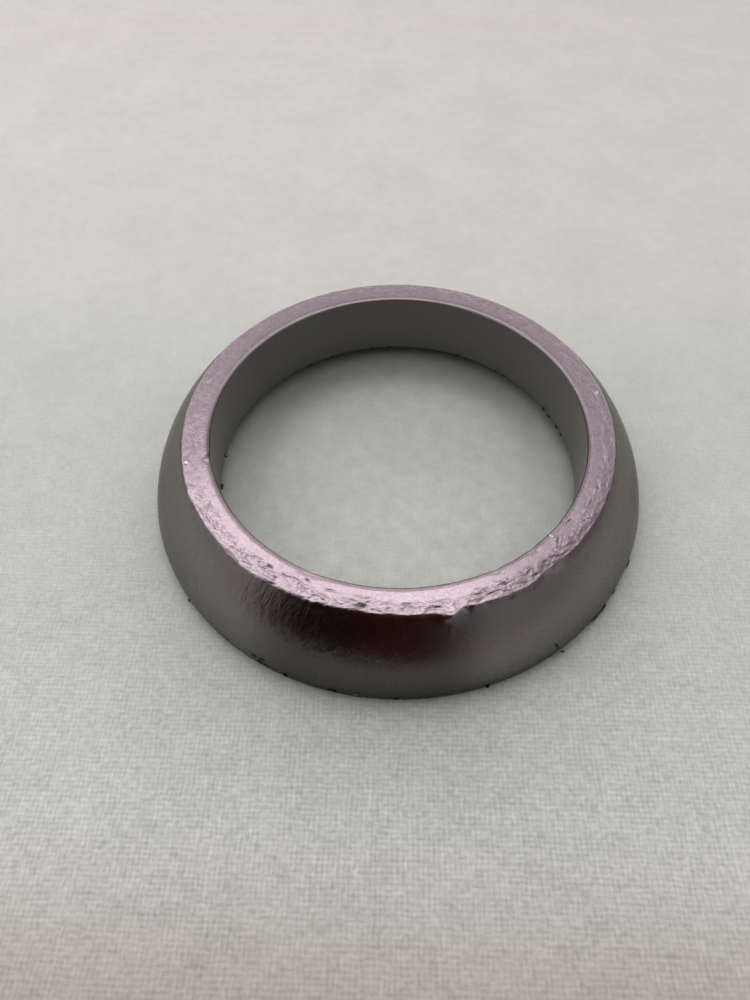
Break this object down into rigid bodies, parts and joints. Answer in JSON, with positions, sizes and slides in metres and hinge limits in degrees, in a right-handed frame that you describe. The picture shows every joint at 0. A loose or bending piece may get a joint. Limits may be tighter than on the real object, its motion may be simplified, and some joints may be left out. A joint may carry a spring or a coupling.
{
  "type": "conical exhaust pipe seal ring",
  "caption": "Pressed graphite and wire-mesh exhaust seal ring with a through bore, a flat wide base and a convex seat that narrows to a flat nose.",
  "frame": {"origin": "on the pipe axis at the flat base of the wide end", "axes": "+Z along the pipe axis, from the wide end towards the nose; +X to the right and +Y away from the camera of the picture"},
  "size_m": [0.0812, 0.0812, 0.0138],
  "materials": {
    "pressed_graphite": "satin, dark graphite with a silvery nose face"
  },
  "bodies": {
    "root": {"seal_ring": "pressed_graphite"}
  },
  "joints": []
}
